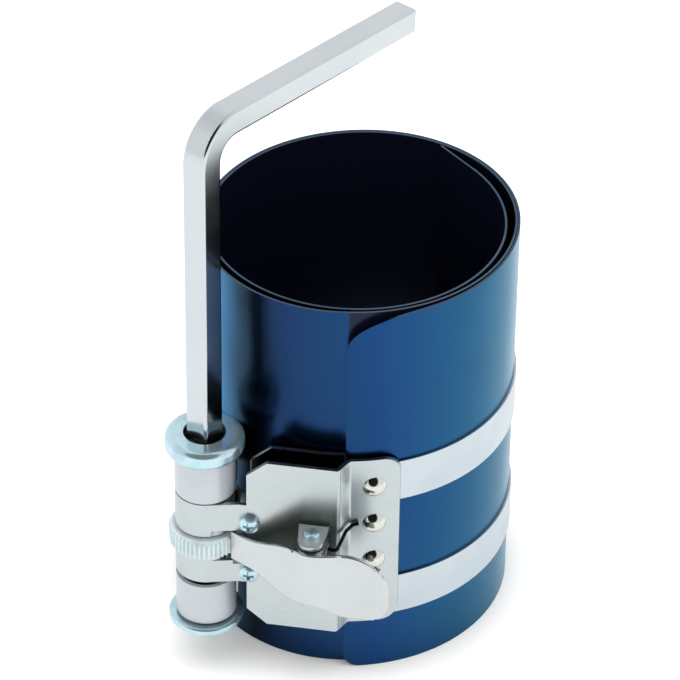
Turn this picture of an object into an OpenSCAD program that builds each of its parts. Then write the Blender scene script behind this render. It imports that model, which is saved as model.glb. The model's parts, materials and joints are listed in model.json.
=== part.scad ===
// Piston ring compressor: a coiled spring-steel sleeve that two steel bands draw tight.
// The bands wind on a spindle with a ratchet, which a square L-shaped key turns.
// Millimetres. The origin is on the axis of the bore at the foot of the sleeve,
// +Z is up and the bracket faces -Y.

/* [Sleeve] */
// Diameter of the bore that squeezes the piston rings
bore_d = 53; // [48:0.1:58]
// Height of the sleeve
sleeve_h = 80; // [72:1:100]
// Thickness of the spring-steel sheet
sheet_t = 0.4; // [0.3:0.05:0.45]
// Distance of the free edge to the right of the bore's axis
end_edge_x = 3.3; // [1:0.1:4]
// Width of the round at the upper corner of the free end
end_round_w = 13.2; // [6:0.1:15]
// Height of the round at the upper corner of the free end
end_round_h = 7; // [4:0.5:12]
// Radius of the lower corner of the free end
end_round_foot = 3; // [1:0.5:5]

/* [Bands] */
// Width of each band
band_w = 8.6; // [6:0.1:9]
// Thickness of each band
band_t = 0.4; // [0.3:0.05:0.5]
// Height of the middle of the upper band
upper_band_z = 43.3; // [42:0.1:44]
// Height of the middle of the lower band
lower_band_z = 16.8; // [16:0.1:18]

/* [Bracket] */
// Thickness of the bracket's sheet
leaf_t = 0.8; // [0.6:0.05:1]
// Height of the bracket's lower edge
bracket_z = 12; // [11:0.1:13]
// Height of the bracket
bracket_h = 37.4; // [36:0.1:40]
// Distance between the front leaf and the back leaf
leaf_gap = 3.6; // [3:0.1:5]
// Distance of the leaves' left edge from the bore's axis
leaf_left = 13.85; // [13:0.05:15]
// Distance of the step in the front leaf from the bore's axis
step_x = 2.35; // [1.5:0.05:3]
// Width over which the front leaf steps back to the pad
step_w = 2.3; // [1.5:0.1:3]
// Distance of the pad's right edge from the bore's axis
pad_right = 12.85; // [12:0.05:14]
// Width of the cut at the leaves' left corners
corner_cut_w = 3.7; // [2:0.1:5]
// Height of the cut at the leaves' left corners
corner_cut_h = 3.2; // [2:0.1:5]
// Radius of the pad's right corners
pad_round = 3; // [1:0.1:4]

/* [Spindle] */
// Distance of the spindle's axis to the left of the bore's axis
spindle_x = 22.1; // [21.5:0.1:24]
// Distance of the spindle's axis in front of the back leaf
spindle_out = 0.4; // [0:0.1:1.5]
// Diameter of the spindle in the knuckles
spindle_d = 9.3; // [8.5:0.1:9.6]
// Lowest end of the spindle
spindle_z = 9.2; // [8.5:0.1:9.4]
// Height of the spindle
spindle_h = 42; // [41.5:0.1:42.5]
// Running clearance between spindle and knuckle, on the radius
spindle_fit = 0.05; // [0.02:0.01:0.09]
// Outer diameter of the wound bands
coil_d = 11; // [10.5:0.1:11.4]
// Diameter of the top flange
top_flange_d = 14.4; // [12.5:0.1:15]
// Thickness of the top flange
top_flange_h = 3.7; // [3.4:0.1:4.2]
// Hole in the top flange that the key passes through
flange_hole_d = 7.7; // [7:0.1:8]
// Diameter of the bottom flange
bottom_flange_d = 13.7; // [12:0.1:15]
// Thickness of the bottom flange
bottom_flange_h = 1.4; // [1:0.1:1.5]
// Outer diameter of the ratchet wheel
ratchet_d = 13.3; // [12.5:0.1:13.6]
// Thickness of the ratchet wheel
ratchet_h = 3.7; // [3:0.1:4]
// Height of the middle of the ratchet wheel
ratchet_z = 29.6; // [29.4:0.1:29.8]
// Number of ratchet teeth
ratchet_teeth = 48; // [36:1:60]
// Depth of the ratchet teeth
tooth_depth = 0.55; // [0.3:0.05:0.8]
// Width of the slope on the ratchet wheel's upper edge
ratchet_slope = 0.6; // [0.2:0.1:1]

/* [Knuckles] */
// Top of the upper knuckle
upper_knuckle_top = 39.3; // [39:0.1:39.3]
// Foot of the upper knuckle
upper_knuckle_foot = 32.1; // [31.9:0.1:32.6]
// Top of the lower knuckle
lower_knuckle_top = 27.3; // [26.8:0.1:27.4]
// Foot of the lower knuckle
lower_knuckle_foot = 21.4; // [21.2:0.1:22]

/* [Lever] */
// Thickness of the lever's sheet
lever_t = 0.8; // [0.6:0.05:1]
// Distance of the lever's pivot to the left of the bore's axis
pivot_x = 1.35; // [1:0.05:2]
// Distance of the lever's pivot in front of the front leaf
pivot_out = 3.7; // [3.6:0.05:4.5]
// Distance of the lever's face in front of its pivot
web_out = 4.4; // [4.2:0.1:5]
// Distance of the thumb end from the bore's axis
thumb_right = 13.3; // [12:0.1:15]
// Height of the lever's nose
nose_h = 5.2; // [4:0.1:5.4]
// Height of the lever at its pivot
web_h = 11.4; // [11:0.1:12]
// Height of the thumb pad
thumb_h = 14.1; // [13:0.1:15]
// Distance between the ribs of the thumb pad
rib_pitch = 0.7; // [0.65:0.05:0.75]
// Height of the ribs of the thumb pad
rib_rise = 0.1; // [0.05:0.01:0.12]
// Diameter of the pivot screw
pivot_d = 2; // [1.6:0.1:2.2]
// Diameter of the spring's wire
wire_d = 0.7; // [0.5:0.05:0.8]
// Radius of the spring's coil at the middle of the wire
spring_r = 1.9; // [1.7:0.05:2]

/* [Key] */
// Width of the key's square bar
key_w = 4.8; // [4:0.1:5]
// Radius of the bar's corners
key_round = 0.6; // [0.3:0.1:1]
// Clearance between the bar and its socket, on each side
key_fit = 0.15; // [0.1:0.05:0.3]
// Lowest end of the key, just above the floor of its socket
key_z = 14; // [12:0.5:30]
// Height at which the arm's middle crosses the spindle's axis
key_arm_z = 116.1; // [100:0.1:130]
// Length of the arm from the spindle's axis
key_arm = 55; // [40:1:70]
// Radius of the bend at the bar's middle
key_bend = 6.2; // [4:0.1:8]
// Direction of the arm, seen from above
key_turn = 60; // [0:5:180]
// Drop of the arm below the horizontal
key_droop = 4; // [0:0.5:8]

/* [Fasteners] */
// Diameter of the rivet heads
rivet_head_d = 4.3; // [3.5:0.1:5]
// Diameter of the rivet shanks
rivet_d = 2.4; // [2:0.1:2.8]
// Distance of the row of rivets from the bore's axis
rivet_x = 8.6; // [8:0.05:9.4]
// Distance between the two middle rivets
rivet_pitch = 8.5; // [7:0.1:9]
// Diameter of the clamp screws
clamp_d = 2; // [1.6:0.1:2.2]
// Diameter of the clamp screws' heads
clamp_head_d = 3.5; // [3:0.1:3.8]
// Distance of the clamp screws from the bore's axis
clamp_x = 13.3; // [13:0.05:13.6]
// Width of the nuts across their flats
nut_w = 4; // [3.5:0.1:4.2]
// Thickness of the nuts
nut_h = 1.6; // [1.2:0.1:1.8]

/* [Hidden] */
$fn = 64;
// Space between pieces that are riveted together
seat_gap = 0.05;
// Space between pieces that move past each other
run_gap = 0.3;
// Space round a screw or rivet in its hole, on the radius
hole_gap = 0.05;
// Length by which a cutting shape passes the faces that it cuts
past = 1;
// Step where a straight bar or strip runs into its bend, so that their faces join cleanly
weld = 0.02;
// Length of a screw that shows past its nut
screw_tail = 0.3;
// Shape of a screw's head, as shares of its diameter
head_share = 0.4;
head_dome_share = 0.85;
cross_w_share = 0.17;
cross_l_share = 0.56;
cross_depth_share = 0.22;

blued_steel = "#1f4478";
band_steel = "#d3dadf";
nickel = "#cfd4d3";
zinc = "#bcd2d8";
spring_wire = "#20262a";

// Plane geometry
function dir(a) = [cos(a), sin(a)];
function turned(p, a) = [p.x * cos(a) - p.y * sin(a), p.x * sin(a) + p.y * cos(a)];
function angle_of(v) = atan2(v.y, v.x);
function mix(a, b, f) = a + (b - a) * f;
function ease(f) = let (g = min(1, max(0, f))) g * g * (3 - 2 * g);

// The sleeve is one sheet coiled in arcs that meet without a corner. The bore is most of a circle.
// From one end of it the inner end runs straight out, from the other the coil goes on, clockwise and outwards.
wall_r = bore_d / 2 + sheet_t;
// Turn of the whole coil against the bracket's leaves
coil_turn = 9;
// Where the inner end leaves the bore, and how far it runs straight on
flare_a = 38;
flare_run = 9.2;
// Middle of the arc that takes the sheet from the bore round the back
back_c = [2.1, -1.35];
seam_a = angle_of(-back_c);
back_r0 = round(100 * (wall_r + norm(back_c))) / 100;
// For each quarter after it: how much larger its radius is than the one before, and the flat run after it
coil_arcs = [[-2.7, 0], [2.5, 0.9], [-2.7, 0], [3.4, 0], [-2.7, 0], [3.7, 0]];
// The last quarter goes on a little, and its free edge is cut there
end_turn = 100;
end_arc = len(coil_arcs);
function arc_step(i) = coil_arcs[i - 1][0];
function arc_run(i) = i == 0 ? 0 : coil_arcs[i - 1][1];
function arc_r(i) = i == 0 ? back_r0 : arc_r(i - 1) + arc_step(i);
function arc_from(i) = 180 - 90 * i;
function arc_c(i) = i == 0
    ? back_c
    : arc_c(i - 1) - arc_step(i) * dir(arc_from(i)) + arc_run(i - 1) * dir(arc_from(i) - 90);

// The bracket's pad, the bands' ends and the sleeve's free end are layers of one round wall
end_c = turned(arc_c(end_arc), coil_turn);
end_r = arc_r(end_arc);
band_out = seat_gap + band_t;
pad_r = end_r + band_out + seat_gap + leaf_t;
back_r = end_r - sheet_t - seat_gap;
function pad_angle(x) = 270 + asin((x - end_c.x) / pad_r);

// Planes of the two leaves
back_y = end_c.y - back_r;
front_y = back_y - leaf_gap - leaf_t;
bracket_top = bracket_z + bracket_h;
bracket_mid = bracket_z + bracket_h / 2;
// Where the step from the front leaf ends in the pad
pad_x = step_x + step_w;

// Rivets, from the top down
rivet_a = pad_angle(rivet_x);
rivet_z = [upper_band_z, bracket_mid + rivet_pitch / 2, bracket_mid - rivet_pitch / 2, lower_band_z];

// Spindle and what is on it
axis = [-spindle_x, back_y - spindle_out];
spindle_r = spindle_d / 2;
knuckle_r = spindle_r + spindle_fit;
knuckle_out = knuckle_r + leaf_t;
socket_w = key_w + 2 * key_fit;
// Space between the lower knuckle and the wound band under it
lower_coil_gap = 1.3;
upper_coil_z = upper_knuckle_top + run_gap + band_w / 2;
lower_coil_z = lower_knuckle_foot - lower_coil_gap - band_w / 2;
top_flange_z = upper_coil_z + band_w / 2 + seat_gap;
bottom_flange_z = spindle_z + run_gap;
anchor_depth = 1.2;
anchor_a = 150;
// Rounding of the flanges' rims, as a share of their thickness
top_rim_share = 0.35;
bottom_rim_share = 0.3;
// Where a ratchet tooth's tip ends and its foot lies, as shares of the pitch
tip_end = 0.3;
foot_start = 0.45;
foot_end = 0.6;

// Tabs that join the knuckles to the leaves
tab_x = clamp_x + clamp_head_d / 2 + run_gap;
back_tab_x = clamp_x + nut_w / 2 + run_gap;
tab_cut = 0.9;
back_tab_cut = 0.8;
// Height of each clamp screw, as a share of its knuckle's height
upper_clamp_share = 0.45;
lower_clamp_share = 0.42;
mid_r = knuckle_r + leaf_t / 2;
front_tab = [-tab_x, front_y + leaf_t / 2];
back_tab = [-back_tab_x, back_y + leaf_t / 2];
function tangent_len(p) = sqrt(pow(norm(axis - p), 2) - mid_r * mid_r);
function tangent_a(p, side) = angle_of(axis - p) + side * asin(mid_r / norm(axis - p));
front_tab_a = tangent_a(front_tab, 1);
back_tab_a = tangent_a(back_tab, -1);
clamp_z = [
    mix(upper_knuckle_foot, upper_knuckle_top, upper_clamp_share),
    mix(lower_knuckle_foot, lower_knuckle_top, lower_clamp_share)
];

// Lever and ears
pivot = [-pivot_x, front_y - pivot_out];
web_y = pivot.y - web_out;
lever_rise = 0.7;
lever_mid = ratchet_z + lever_rise;
// Radius of an ear's tip, and how far its middle lies past the pivot
ear_r = 2.3;
ear_past = 1.1;
ear_root_left = 2.95;
ear_root_right = 2.65;
eye_r = 3;
upper_eye_z = lever_mid + web_h / 2 - lever_t;
lower_eye_z = lever_mid - web_h / 2;
upper_ear_z = upper_eye_z + lever_t + run_gap;
lower_ear_z = lower_eye_z - run_gap - leaf_t;
nose_a = -35;
nose = axis + (ratchet_d / 2 + run_gap) * dir(nose_a);
// Bend between the slanted and the flat part of the lever
web_bend_r = 8;
web_bend_x = 2.4;
// Edges of the lever, measured from its middle: at the nose, and where they widen
nose_up = nose_h / 2 + 0.1;
nose_down = nose_h / 2 + 1;
neck_up = [-14, -4];
neck_down = [-13, -5];
thumb_rise = 0.8;
thumb_drop = thumb_h - web_h - thumb_rise;
swell_up = [-1, 5.5];
swell_down = [-1.5, 6];
thumb_r = 8;
thumb_foot_r = 4;
// Ribs of the thumb pad
ribs = 15;
rib_r = 0.5;
rib_in = 2;
rib_fade = 1.2;
rib_drop = 0.3;
rib_share = 0.66;
// Head of the pivot screw, as a share of its diameter
pivot_head_share = 1.45;

// Key
key_bend_a = 90 + key_droop;
key_tangent = key_bend * tan(key_bend_a / 2);
// How much the bar bulges on each side in the bend
bend_bulge = weld;

// Bent wall that starts in one direction and turns on from there, from its outer radius inwards
module arc_wall(c, r, t, from, turn, z, h) {
    translate([c.x, c.y, z]) rotate(from)
        rotate_extrude(angle = turn) translate([r - t, 0]) square([t, h]);
}

// Square with rounded corners
module round_square(w, r) {
    square([w - 2 * r, w], center = true);
    square([w, w - 2 * r], center = true);
    for (sx = [-1, 1], sy = [-1, 1]) translate([sx, sy] * (w / 2 - r)) circle(r);
}

// Puts an upright shape at the row of rivets, with Z pointing out of the pad from its face
module on_pad(z, depth = 0) {
    translate([end_c.x, end_c.y, z]) rotate(rivet_a) translate([pad_r - depth, 0, 0])
        rotate([0, 90, 0]) children();
}

module rivet_holes(heights) {
    for (z = heights) on_pad(z, 2 * pad_r - 2 * back_r)
        cylinder(r = rivet_d / 2 + hole_gap, h = 4 * (pad_r - back_r));
}

// Head of a screw with a domed top and a cross, on its seat
module screw_head(d, h) {
    dome_r = d * head_dome_share;
    cross = [d * cross_l_share, d * cross_w_share];
    difference() {
        rotate_extrude() intersection() {
            square([d / 2, h]);
            translate([0, h - dome_r]) circle(dome_r);
        }
        for (a = [0, 90]) rotate(a) translate([-cross.x / 2, -cross.y / 2, h - d * cross_depth_share])
            cube([cross.x, cross.y, h]);
    }
}

module hex_nut(hole) {
    difference() {
        cylinder(d = nut_w / cos(30), h = nut_h, $fn = 6);
        translate([0, 0, -past]) cylinder(d = hole, h = nut_h + 2 * past, $fn = 64);
    }
}

// Sleeve

// Front view of the sheet's outer end, with its free edge at the left and two rounded corners
module end_outline() {
    right = end_c.x + end_r + past;
    steps = 12;
    turns = [for (i = [0 : steps]) 90 * i / steps];
    polygon(concat(
        [[right, 0], [right, sleeve_h]],
        [for (a = turns) [end_edge_x + end_round_w * (1 - sin(a)), sleeve_h - end_round_h * (1 - cos(a))]],
        [for (a = turns) [end_edge_x, 0] + end_round_foot * [1 - cos(a), 1 - sin(a)]]
    ));
}

module sleeve_end() {
    difference() {
        intersection() {
            rotate(coil_turn)
                arc_wall(arc_c(end_arc), end_r, sheet_t, arc_from(end_arc), -end_turn, 0, sleeve_h);
            translate([0, end_r, 0]) rotate([90, 0, 0]) linear_extrude(3 * end_r) end_outline();
        }
        rivet_holes(rivet_z);
    }
}

module sleeve() color(blued_steel) {
    thin = sheet_t - 2 * weld;
    low = sleeve_h - 2 * weld;
    seam_turn = 0.2;
    rotate(coil_turn) {
        rotate(flare_a) translate([wall_r - sheet_t + weld, -weld, weld]) cube([thin, flare_run + weld, low]);
        arc_wall([0, 0], wall_r, sheet_t, seam_a, 360 - seam_a + flare_a, 0, sleeve_h);
        arc_wall(back_c, back_r0 - weld, thin, seam_a + seam_turn, 90 - seam_a - 2 * seam_turn, weld, low);
        for (i = [1 : end_arc - 1]) {
            arc_wall(arc_c(i), arc_r(i), sheet_t, arc_from(i), -90, 0, sleeve_h);
            if (arc_run(i) > 0) translate(arc_c(i)) rotate(arc_from(i + 1))
                translate([arc_r(i) - sheet_t, -arc_run(i), 0]) cube([sheet_t, arc_run(i), sleeve_h]);
        }
    }
    sleeve_end();
}

// Bands

// A band starts under the pad, follows the sleeve round the back and goes over to the spindle
module band(z) {
    leave_arc = end_arc - 3;
    c = arc_c(leave_arc);
    r = arc_r(leave_arc) + seat_gap + band_t / 2;
    clear_r = coil_d / 2 + run_gap + band_t / 2;
    way = turned(axis, -coil_turn) - c;
    leave_a = angle_of(way) - acos((r + clear_r) / norm(way));
    free_len = sqrt(pow(norm(way), 2) - pow(r + clear_r, 2));
    start_a = rivet_a - asin((rivet_head_d / 2 + past) / end_r) - coil_turn;
    foot = z - band_w / 2;
    difference() {
        rotate(coil_turn) arc_wall(arc_c(end_arc), end_r + band_out, band_t, 0, start_a - 360, foot, band_w);
        rivet_holes([z]);
    }
    rotate(coil_turn) {
        for (i = [leave_arc + 1 : end_arc - 1])
            arc_wall(arc_c(i), arc_r(i) + band_out, band_t, arc_from(i), -90, foot, band_w);
        arc_wall(c, r + band_t / 2, band_t, 180, leave_a + 180, foot, band_w);
        translate([c.x, c.y, foot]) rotate(leave_a) translate([r - band_t / 2 + weld, -weld, weld])
            cube([band_t - 2 * weld, free_len + weld, band_w - 2 * weld]);
    }
}

module upper_band() color(band_steel) band(upper_band_z);
module lower_band() color(band_steel) band(lower_band_z);

// Bracket

// Outline of a leaf from its left edge, with cut corners, to x = right
module leaf_outline(right) {
    polygon([
        [-leaf_left + corner_cut_w, bracket_z], [right, bracket_z], [right, bracket_top],
        [-leaf_left + corner_cut_w, bracket_top], [-leaf_left, bracket_top - corner_cut_h],
        [-leaf_left, bracket_z + corner_cut_h]
    ]);
}

// Flat sheet with its front face at y, from an outline in x and z
module upright(y, t) {
    translate([0, y + t, 0]) rotate([90, 0, 0]) linear_extrude(t) children();
}

// Front view of a bent leaf with its two right corners rounded, measured from the wall's middle
module bent_outline(left, right) {
    inner = right - pad_round;
    translate([left, bracket_z]) square([inner - left, bracket_h]);
    translate([left, bracket_z + pad_round]) square([right - left, bracket_h - 2 * pad_round]);
    for (z = [bracket_z + pad_round, bracket_top - pad_round]) translate([inner, z]) circle(pad_round);
}

// Sheet bent round the wall's middle between two values of x from there, with its outer face at radius r
module bent_leaf(r, left, right) {
    from = asin(left / r);
    to = asin((right + past) / r);
    intersection() {
        arc_wall([0, 0], r, leaf_t, 270 + from, to - from, bracket_z - past, bracket_h + 2 * past);
        rotate([90, 0, 0]) linear_extrude(2 * r) bent_outline(left - past, right);
    }
}

// Front leaf from above, with the S-shaped step that leads back into the pad
module front_plan() {
    pad_y = end_c.y - sqrt(pow(pad_r - weld, 2) - pow(pad_x - end_c.x, 2));
    steps = 10;
    face = [for (i = [0 : steps]) [mix(step_x, pad_x, i / steps), mix(front_y, pad_y, ease(i / steps))]];
    slope = (pad_y - front_y) / step_w;
    lean = [for (i = [0 : steps]) let (f = i / steps) atan(slope * 6 * f * (1 - f))];
    leaf_y = front_y + leaf_t;
    back = [for (i = [steps : -1 : 0]) let (p = face[i] + leaf_t * dir(90 + lean[i])) if (p.y > leaf_y) p];
    root_x = back[len(back) - 1].x;
    polygon(concat(
        [[-leaf_left - past, front_y]], face, back, [[root_x, leaf_y], [-leaf_left - past, leaf_y]]
    ));
}

module front_leaf() {
    intersection() {
        translate([0, 0, bracket_z - past]) linear_extrude(bracket_h + 2 * past) front_plan();
        upright(front_y - past, 2 * leaf_gap) leaf_outline(pad_x + past);
    }
    translate(end_c) bent_leaf(pad_r, pad_x - end_c.x - run_gap, pad_right - end_c.x);
}

module back_leaf() translate(end_c) {
    upright(-back_r, leaf_t) translate([-end_c.x, 0]) leaf_outline(end_c.x);
    bent_leaf(back_r, 0, pad_right - past - end_c.x);
}

// Tongue that carries the lever's pivot
module ear(z) {
    tip = pivot - [0, ear_past];
    translate([0, 0, z]) linear_extrude(leaf_t) difference() {
        union() {
            translate(tip) circle(ear_r);
            polygon([
                [pivot.x - ear_root_left, front_y + leaf_t / 2],
                [pivot.x + ear_root_right, front_y + leaf_t / 2],
                [tip.x + ear_r, tip.y], [tip.x - ear_r, tip.y]
            ]);
        }
        translate(pivot) circle(pivot_d / 2 + hole_gap);
    }
}

// Knuckle round the spindle, with the tabs that join it to the two leaves
module knuckle(foot, top, tab_foot, tab_top) {
    ring_from = back_tab_a - 90;
    ring_to = front_tab_a + 90;
    tab_h = tab_top - tab_foot - 2 * weld;
    arc_wall(axis, knuckle_out, leaf_t, ring_from, ring_to - ring_from, foot, top - foot);
    translate([0, 0, tab_foot + weld]) {
        tab(front_tab, front_tab_a, tab_h);
        tab(back_tab, back_tab_a, tab_h - back_tab_cut);
    }
}

// Tab from the leaf's left part to where the knuckle's ring starts, bent at p
module tab(p, a, h) {
    t = leaf_t - 2 * weld;
    linear_extrude(h) {
        translate(p) {
            rotate(a) translate([0, -t / 2]) square([tangent_len(p) + weld, t]);
            circle(d = t);
            translate([0, -t / 2]) square([-p.x - leaf_left + past, t]);
        }
    }
}

module bracket() color(nickel) difference() {
    union() {
        front_leaf();
        back_leaf();
        ear(upper_ear_z);
        ear(lower_ear_z);
        knuckle(upper_knuckle_foot, upper_knuckle_top, upper_knuckle_foot + tab_cut + run_gap, upper_knuckle_top);
        knuckle(lower_knuckle_foot, lower_knuckle_top, lower_knuckle_foot, lower_knuckle_top - tab_cut);
    }
    rivet_holes(rivet_z);
    for (z = clamp_z) translate([-clamp_x, front_y - past, z]) rotate([-90, 0, 0])
        cylinder(r = clamp_d / 2 + hole_gap, h = leaf_gap + 2 * leaf_t + 2 * past);
}

// Spindle

// Slot that holds a band's inner end
module anchor(z, w, depth) {
    translate([axis.x, axis.y, z]) rotate(anchor_a) translate([spindle_r - depth, -w / 2, -band_w / 2])
        cube([depth + (coil_d / 2 - spindle_r) / 2, w, band_w]);
}

module spindle() color(zinc) difference() {
    translate([axis.x, axis.y, spindle_z]) cylinder(r = spindle_r, h = spindle_h);
    translate([axis.x, axis.y, key_z - run_gap]) rotate(key_turn)
        linear_extrude(spindle_h) square(socket_w, center = true);
    for (z = [upper_coil_z, lower_coil_z]) anchor(z, band_t + 2 * hole_gap, anchor_depth + hole_gap);
}

// Disc with a rounded rim, from the axis out
module rim_profile(d, h, r) {
    square([d / 2 - r, h]);
    translate([0, r]) square([d / 2, h - 2 * r]);
    for (z = [r, h - r]) translate([d / 2 - r, z]) circle(r);
}

module top_flange() color(zinc) translate([axis.x, axis.y, top_flange_z]) difference() {
    rotate_extrude() rim_profile(top_flange_d, top_flange_h, top_flange_h * top_rim_share);
    translate([0, 0, -past]) cylinder(d = flange_hole_d, h = top_flange_h + 2 * past);
    translate([0, 0, -past]) cylinder(r = spindle_r, h = past + spindle_z + spindle_h - top_flange_z);
}

module bottom_flange() color(zinc) translate([axis.x, axis.y, bottom_flange_z]) difference() {
    rotate_extrude() rim_profile(bottom_flange_d, bottom_flange_h, bottom_flange_h * bottom_rim_share);
    translate([0, 0, -past]) cylinder(r = spindle_r, h = bottom_flange_h + 2 * past);
}

// Saw teeth that let the spindle turn one way and hold it the other way, under a sloped upper edge
module ratchet_wheel() color(zinc) {
    pitch = 360 / ratchet_teeth;
    tip_r = ratchet_d / 2;
    root_r = tip_r - tooth_depth;
    translate([axis.x, axis.y, ratchet_z - ratchet_h / 2]) difference() {
        intersection() {
            linear_extrude(ratchet_h) polygon([for (i = [0 : ratchet_teeth - 1]) each [
                tip_r * dir(i * pitch), tip_r * dir((i + tip_end) * pitch),
                root_r * dir((i + foot_start) * pitch), root_r * dir((i + foot_end) * pitch)
            ]]);
            rotate_extrude() polygon([
                [0, -past], [tip_r + past, -past], [tip_r + past, ratchet_h - ratchet_slope - past],
                [tip_r - ratchet_slope, ratchet_h], [0, ratchet_h]
            ]);
        }
        translate([0, 0, -past]) cylinder(r = spindle_r, h = ratchet_h + 2 * past);
    }
}

// Band wound on the spindle, with its inner end in the slot
module band_coil(z) {
    translate([axis.x, axis.y, z - band_w / 2]) difference() {
        cylinder(d = coil_d, h = band_w);
        translate([0, 0, -past]) cylinder(r = spindle_r + seat_gap, h = band_w + 2 * past);
    }
    anchor(z, band_t, anchor_depth);
}

module upper_band_coil() color(band_steel) band_coil(upper_coil_z);
module lower_band_coil() color(band_steel) band_coil(lower_coil_z);

// Lever

// Upper and lower edge of the lever along x, measured from its middle
function along(x, span) = ease((x - span[0]) / (span[1] - span[0]));
function edge_up(x) = mix(nose_up, web_h / 2, along(x, neck_up)) + thumb_rise * along(x, swell_up);
function edge_down(x) = mix(nose_down, web_h / 2, along(x, neck_down)) + thumb_drop * along(x, swell_down);

// Side view of the lever in x and z: a narrow nose that widens to a round thumb pad
module lever_outline() {
    left = nose.x - past;
    mid_x = thumb_right - thumb_r;
    top = lever_mid + web_h / 2 + thumb_rise;
    foot = top - thumb_h;
    n = 24;
    xs = [for (i = [0 : n]) mix(left, mid_x, i / n)];
    polygon(concat(
        [for (x = xs) [x, lever_mid - edge_down(x)]],
        [for (i = [n : -1 : 0]) [xs[i], lever_mid + edge_up(xs[i])]]
    ));
    intersection() {
        translate([mid_x, top - thumb_r]) circle(thumb_r);
        translate([mid_x - past, foot]) square([thumb_r + past, thumb_h]);
    }
    translate([thumb_right - thumb_foot_r, foot + thumb_foot_r]) circle(thumb_foot_r);
    translate([mid_x - past, foot]) square([thumb_r - thumb_foot_r + past, thumb_foot_r]);
    translate([mid_x, foot + thumb_foot_r]) square([thumb_r, thumb_h - thumb_r - thumb_foot_r]);
}

// Lever from above: straight from the nose, then bent parallel to the leaf
module lever_plan() {
    bend = [-web_bend_x, web_y + lever_t / 2];
    lean = angle_of(bend - nose);
    run = web_bend_r * tan(-lean / 2);
    slant = norm(bend - nose) - run;
    translate(nose) rotate(lean) translate([0, -lever_t / 2]) square([slant, lever_t]);
    translate(bend + [run, web_bend_r]) intersection() {
        difference() {
            circle(web_bend_r + lever_t / 2, $fn = 128);
            circle(web_bend_r - lever_t / 2, $fn = 128);
        }
        polygon([[0, 0], 2 * web_bend_r * dir(270 + lean), 2 * web_bend_r * dir(270)]);
    }
    translate([bend.x + run, web_y]) square([thumb_right - bend.x - run, lever_t]);
}

// Flange of the lever that turns on the pivot screw
module lever_eye(z) {
    translate([0, 0, z]) linear_extrude(lever_t) difference() {
        union() {
            translate(pivot) circle(eye_r);
            translate([pivot.x - eye_r, web_y + lever_t / 2]) square([2 * eye_r, web_out - lever_t / 2]);
        }
        translate(pivot) circle(pivot_d / 2 + hole_gap);
    }
}

// Round rib that fades into the thumb pad at both ends
module rib(h) {
    end_r = rib_r - rib_rise - weld;
    cylinder(r1 = end_r, r2 = rib_r, h = rib_fade);
    translate([0, 0, rib_fade]) cylinder(r = rib_r, h = h - 2 * rib_fade);
    translate([0, 0, h - rib_fade]) cylinder(r1 = rib_r, r2 = end_r, h = rib_fade);
}

module release_lever() color(nickel) {
    rib_h = thumb_h * rib_share;
    intersection() {
        linear_extrude(sleeve_h) lever_plan();
        translate([0, nose.y + past, 0]) rotate([90, 0, 0])
            linear_extrude(nose.y - web_y + 2 * past) lever_outline();
    }
    lever_eye(upper_eye_z);
    lever_eye(lower_eye_z);
    for (i = [0 : ribs - 1])
        translate([thumb_right - rib_in - i * rib_pitch, web_y + rib_r - rib_rise, lever_mid - rib_drop - rib_h / 2])
            rib(rib_h);
}

module pivot_screw() color(zinc) {
    seat = upper_ear_z + leaf_t;
    foot = lower_ear_z - nut_h - screw_tail;
    head_d = pivot_d * pivot_head_share;
    translate([pivot.x, pivot.y, seat]) screw_head(head_d, head_d * head_share);
    translate([pivot.x, pivot.y, foot]) cylinder(d = pivot_d, h = seat - foot);
}

module pivot_nut() color(zinc)
    translate([pivot.x, pivot.y, lower_ear_z - nut_h]) hex_nut(pivot_d + 2 * hole_gap);

// Torsion spring: a straight leg behind the thumb pad, a coil on the pivot, a hook, and a leg that lies on the pad
spring_turns = 6;
spring_exit_a = 60;
spring_sides = 14;
spring_turn = spring_turns * 360 + 270 - spring_exit_a;
spring_steps = round(spring_turn / 360 * spring_sides);
spring_leg_x = 8.2;
spring_lift = 1.5;
spring_drop = 0.2;
spring_run = 2.9;
spring_hook_r = 0.75;
spring_hook_a = 110;
hook_steps = 5;
// Place of the bend in front of the step, from the step's left edge and the leaf's face
spring_bend = [1.6, 1.35];
spring_bend_rise = 0.5;
spring_leg_rise = [0.9, 1.3];
spring_foot = lower_eye_z + lever_t + wire_d + spring_lift;
spring_top = upper_eye_z - wire_d - spring_drop;
hook_c = pivot + (spring_r + spring_hook_r) * dir(spring_exit_a) + spring_run * dir(spring_exit_a - 90);
// The leg touches the pad from the step on and ends before the rivet
leg_x = [pad_x + run_gap / 2, rivet_x - rivet_head_d / 2 - 2 * run_gap];
function on_wall(x) = end_c + (pad_r + wire_d / 2 + run_gap / 2) * dir(pad_angle(x));
spring_path = concat(
    [[spring_leg_x, web_y + lever_t + wire_d / 2 + run_gap, spring_foot]],
    [for (i = [0 : spring_steps])
        let (f = i / spring_steps, p = pivot + spring_r * dir(270 - f * spring_turn))
        [p.x, p.y, mix(spring_foot, spring_top, f)]],
    [for (i = [0 : hook_steps])
        let (p = hook_c + spring_hook_r * dir(spring_exit_a + 180 + spring_hook_a * i / hook_steps))
        [p.x, p.y, spring_top]],
    [[step_x + spring_bend.x, front_y + spring_bend.y, spring_top + spring_bend_rise]],
    [for (i = [0, 1]) let (p = on_wall(leg_x[i])) [p.x, p.y, spring_top + spring_leg_rise[i]]]
);

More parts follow.
